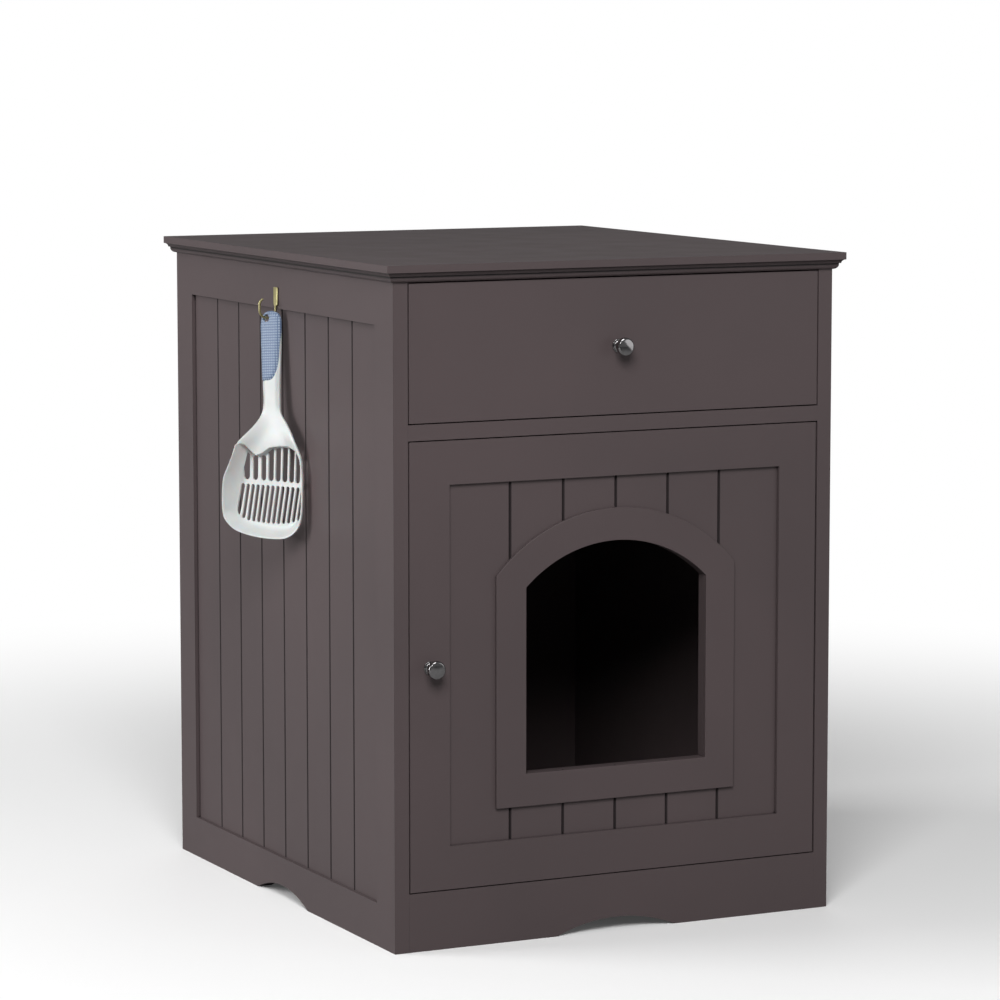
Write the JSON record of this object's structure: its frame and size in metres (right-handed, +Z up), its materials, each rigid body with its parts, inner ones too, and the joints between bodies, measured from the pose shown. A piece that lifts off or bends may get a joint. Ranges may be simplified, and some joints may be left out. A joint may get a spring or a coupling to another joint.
{
  "type": "litter box cabinet",
  "caption": "Dark painted wooden litter box cabinet with a panelled door, an arched entrance in the door, a drawer above it and a litter scoop hung on the left side.",
  "frame": {"origin": "bottom centre of the object's bounding box, at floor level", "axes": "+X to the right across the front, +Y from the front to the back, +Z up"},
  "size_m": [0.5316, 0.571, 0.649],
  "materials": {
    "paint": "satin",
    "drawer_board": "satin",
    "dowel_wood": "matte",
    "zinc_steel": "satin",
    "runner_steel": "gloss",
    "ferrite": "matte",
    "nylon": "satin",
    "dark_nylon": "satin",
    "chrome": "polished",
    "brass": "polished",
    "scoop_plastic": "gloss",
    "grip_rubber": "matte"
  },
  "bodies": {
    "cabinet": {"side_panel_left": "paint", "side_panel_right": "paint", "top_board": "paint", "divider_shelf": "paint", "floor_board": "paint", "back_board": "paint", "front_apron": "paint", "wood_dowels": "dowel_wood", "cam_locks": "zinc_steel", "cam_bolts": "zinc_steel", "back_screws": "zinc_steel", "pivot_bush_lower": "dark_nylon", "pivot_bush_upper": "dark_nylon", "catch_housing": "dark_nylon", "catch_magnet": "ferrite", "catch_screws": "zinc_steel", "runner_left_cabinet": "runner_steel", "runner_right_cabinet": "runner_steel", "runner_screws_cabinet": "zinc_steel", "scoop_hook": "brass"},
    "door": {"door_panel": "paint", "entrance_casing": "paint", "door_knob": "chrome", "door_knob_screw": "zinc_steel", "pivot_pin_lower": "zinc_steel", "pivot_pin_upper": "zinc_steel", "strike_plate": "zinc_steel", "strike_screws": "zinc_steel"},
    "drawer": {"drawer_front": "paint", "drawer_side_left": "drawer_board", "drawer_side_right": "drawer_board", "drawer_back": "drawer_board", "drawer_bottom": "drawer_board", "drawer_knob": "chrome", "drawer_knob_screw": "zinc_steel", "drawer_cam_locks": "zinc_steel", "drawer_cam_bolts": "zinc_steel", "drawer_back_screws": "zinc_steel", "runner_left_drawer": "runner_steel", "runner_right_drawer": "runner_steel", "runner_screws_drawer": "zinc_steel"},
    "left_front_roller": {"roller_left_front": "nylon"},
    "right_front_roller": {"roller_right_front": "nylon"},
    "left_rear_roller": {"roller_left_rear": "nylon"},
    "right_rear_roller": {"roller_right_rear": "nylon"},
    "scoop": {"scoop_pan": "scoop_plastic", "scoop_grip": "grip_rubber"}
  },
  "joints": [
    {"name": "door_swing", "type": "hinge", "parent": "cabinet", "child": "door", "pos_m": [0.2186, -0.26, 0.2704], "axis": [0, 0, 1], "range_deg": [0, 140]},
    {"name": "drawer_slide", "type": "slide", "parent": "cabinet", "child": "drawer", "axis": [0, -1, 0], "range_m": [0, 0.3]},
    {"name": "left_front_roller_turn", "type": "hinge", "parent": "cabinet", "child": "left_front_roller", "pos_m": [-0.1895, -0.2385, 0.5161], "axis": [1, 0, 0], "range_deg": [0, 2100]},
    {"name": "right_front_roller_turn", "type": "hinge", "parent": "cabinet", "child": "right_front_roller", "pos_m": [0.2391, -0.2385, 0.5161], "axis": [1, 0, 0], "range_deg": [0, 2100]},
    {"name": "left_rear_roller_turn", "type": "hinge", "parent": "drawer", "child": "left_rear_roller", "pos_m": [-0.1895, 0.1365, 0.5158], "axis": [1, 0, 0], "range_deg": [0, 2100]},
    {"name": "right_rear_roller_turn", "type": "hinge", "parent": "drawer", "child": "right_rear_roller", "pos_m": [0.2391, 0.1365, 0.5158], "axis": [1, 0, 0], "range_deg": [0, 2100]},
    {"name": "scoop_swing", "type": "hinge", "parent": "cabinet", "child": "scoop", "pos_m": [-0.21995, 0.0075, 0.5824], "axis": [1, 0, 0], "range_deg": [-25, 25]}
  ],
  "couplings": [
    {"joint": "left_front_roller_turn", "follows": "drawer_slide", "rad_per_m": 117.65},
    {"joint": "right_front_roller_turn", "follows": "drawer_slide", "rad_per_m": 117.65},
    {"joint": "left_rear_roller_turn", "follows": "drawer_slide", "rad_per_m": 117.65},
    {"joint": "right_rear_roller_turn", "follows": "drawer_slide", "rad_per_m": 117.65}
  ]
}
